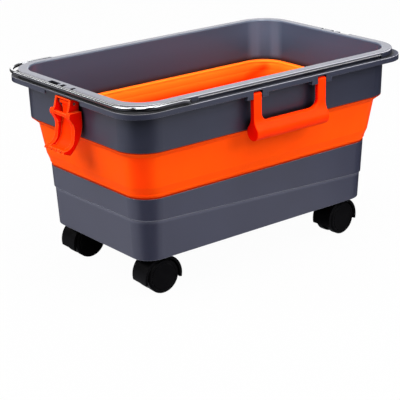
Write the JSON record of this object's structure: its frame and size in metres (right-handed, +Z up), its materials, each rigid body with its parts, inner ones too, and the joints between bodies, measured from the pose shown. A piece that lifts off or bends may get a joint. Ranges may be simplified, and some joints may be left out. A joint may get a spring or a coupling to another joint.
{
  "type": "collapsible wheeled bucket",
  "caption": "Oblong folding bucket on swivel casters: a rigid rim and a rigid tub joined by a rubber wall that folds down, with side grips, end latches and a wire pull bail.",
  "frame": {"origin": "on the floor under the middle of the bucket", "axes": "+X along the long side away from the wire bail, +Y to the rear long side, +Z up"},
  "size_m": [0.5694, 0.3524, 0.303],
  "materials": {
    "grey_plastic": "satin moulded polypropylene",
    "orange_rubber": "smooth satin thermoplastic rubber",
    "red_plastic": "semi-gloss moulded plastic",
    "chrome_wire": "bright plated round wire",
    "steel": "plain zinc-plated steel",
    "black_plastic": "satin black moulded nylon"
  },
  "bodies": {
    "tub": {"lower_tub": "grey_plastic", "folding_wall": "orange_rubber", "stem_rings": "steel", "front_left_stem": "steel", "rear_left_stem": "steel", "front_right_stem": "steel", "rear_right_stem": "steel"},
    "rim": {"rim_frame": "grey_plastic", "front_grip_pins": "steel", "rear_grip_pins": "steel", "left_latch_pin": "steel", "right_latch_pin": "steel"},
    "bail": {"pull_bail": "chrome_wire"},
    "front_grip": {"front_grip": "red_plastic"},
    "rear_grip": {"rear_grip": "red_plastic"},
    "left_latch": {"left_latch": "red_plastic"},
    "right_latch": {"right_latch": "red_plastic"},
    "front_left_caster": {"front_left_hood": "black_plastic", "front_left_axle": "steel"},
    "front_left_outer_wheel": {"front_left_outer_wheel": "black_plastic"},
    "front_left_inner_wheel": {"front_left_inner_wheel": "black_plastic"},
    "rear_left_caster": {"rear_left_hood": "black_plastic", "rear_left_axle": "steel"},
    "rear_left_outer_wheel": {"rear_left_outer_wheel": "black_plastic"},
    "rear_left_inner_wheel": {"rear_left_inner_wheel": "black_plastic"},
    "front_right_caster": {"front_right_hood": "black_plastic", "front_right_axle": "steel"},
    "front_right_outer_wheel": {"front_right_outer_wheel": "black_plastic"},
    "front_right_inner_wheel": {"front_right_inner_wheel": "black_plastic"},
    "rear_right_caster": {"rear_right_hood": "black_plastic", "rear_right_axle": "steel"},
    "rear_right_outer_wheel": {"rear_right_outer_wheel": "black_plastic"},
    "rear_right_inner_wheel": {"rear_right_inner_wheel": "black_plastic"}
  },
  "joints": [
    {"name": "collapse", "type": "slide", "parent": "tub", "child": "rim", "axis": [0, 0, 1], "range_m": [-0.145, 0], "deforming": ["folding_wall"]},
    {"name": "bail_swing", "type": "hinge", "parent": "rim", "child": "bail", "pos_m": [-0.16575, 0, 0.2975], "axis": [0, 1, 0], "range_deg": [0, 170]},
    {"name": "front_grip_swing", "type": "hinge", "parent": "rim", "child": "front_grip", "pos_m": [0.016, -0.164, 0.284], "axis": [-1, 0, 0], "range_deg": [0, 95]},
    {"name": "rear_grip_swing", "type": "hinge", "parent": "rim", "child": "rear_grip", "pos_m": [0.016, 0.164, 0.284], "axis": [1, 0, 0], "range_deg": [0, 95]},
    {"name": "left_latch_swing", "type": "hinge", "parent": "rim", "child": "left_latch", "pos_m": [-0.258, 0, 0.281], "axis": [0, 1, 0], "range_deg": [0, 85]},
    {"name": "right_latch_swing", "type": "hinge", "parent": "rim", "child": "right_latch", "pos_m": [0.258, 0, 0.281], "axis": [0, -1, 0], "range_deg": [0, 85]},
    {"name": "front_left_swivel", "type": "hinge", "parent": "tub", "child": "front_left_caster", "pos_m": [-0.1698, -0.094, 0.045], "axis": [0, 0, 1], "continuous": true},
    {"name": "front_left_outer_roll", "type": "hinge", "parent": "front_left_caster", "child": "front_left_outer_wheel", "pos_m": [-0.17879, -0.09353, 0.026], "axis": [0.0523, 0.9986, 0], "continuous": true},
    {"name": "front_left_inner_roll", "type": "hinge", "parent": "front_left_caster", "child": "front_left_inner_wheel", "pos_m": [-0.17879, -0.09353, 0.026], "axis": [0.0523, 0.9986, 0], "continuous": true},
    {"name": "rear_left_swivel", "type": "hinge", "parent": "tub", "child": "rear_left_caster", "pos_m": [-0.1698, 0.094, 0.045], "axis": [0, 0, 1], "continuous": true},
    {"name": "rear_left_outer_roll", "type": "hinge", "parent": "rear_left_caster", "child": "rear_left_outer_wheel", "pos_m": [-0.1788, 0.09416, 0.026], "axis": [0.0175, 0.9998, 0], "continuous": true},
    {"name": "rear_left_inner_roll", "type": "hinge", "parent": "rear_left_caster", "child": "rear_left_inner_wheel", "pos_m": [-0.1788, 0.09416, 0.026], "axis": [0.0175, 0.9998, 0], "continuous": true},
    {"name": "front_right_swivel", "type": "hinge", "parent": "tub", "child": "front_right_caster", "pos_m": [0.1698, -0.094, 0.045], "axis": [0, 0, 1], "continuous": true},
    {"name": "front_right_outer_roll", "type": "hinge", "parent": "front_right_caster", "child": "front_right_outer_wheel", "pos_m": [0.17878, -0.09337, 0.026], "axis": [-0.0698, 0.9976, 0], "continuous": true},
    {"name": "front_right_inner_roll", "type": "hinge", "parent": "front_right_caster", "child": "front_right_inner_wheel", "pos_m": [0.17878, -0.09337, 0.026], "axis": [-0.0698, 0.9976, 0], "continuous": true},
    {"name": "rear_right_swivel", "type": "hinge", "parent": "tub", "child": "rear_right_caster", "pos_m": [0.1698, 0.094, 0.045], "axis": [0, 0, 1], "continuous": true},
    {"name": "rear_right_outer_roll", "type": "hinge", "parent": "rear_right_caster", "child": "rear_right_outer_wheel", "pos_m": [0.1788, 0.09431, 0.026], "axis": [-0.0349, 0.9994, 0], "continuous": true},
    {"name": "rear_right_inner_roll", "type": "hinge", "parent": "rear_right_caster", "child": "rear_right_inner_wheel", "pos_m": [0.1788, 0.09431, 0.026], "axis": [-0.0349, 0.9994, 0], "continuous": true}
  ]
}
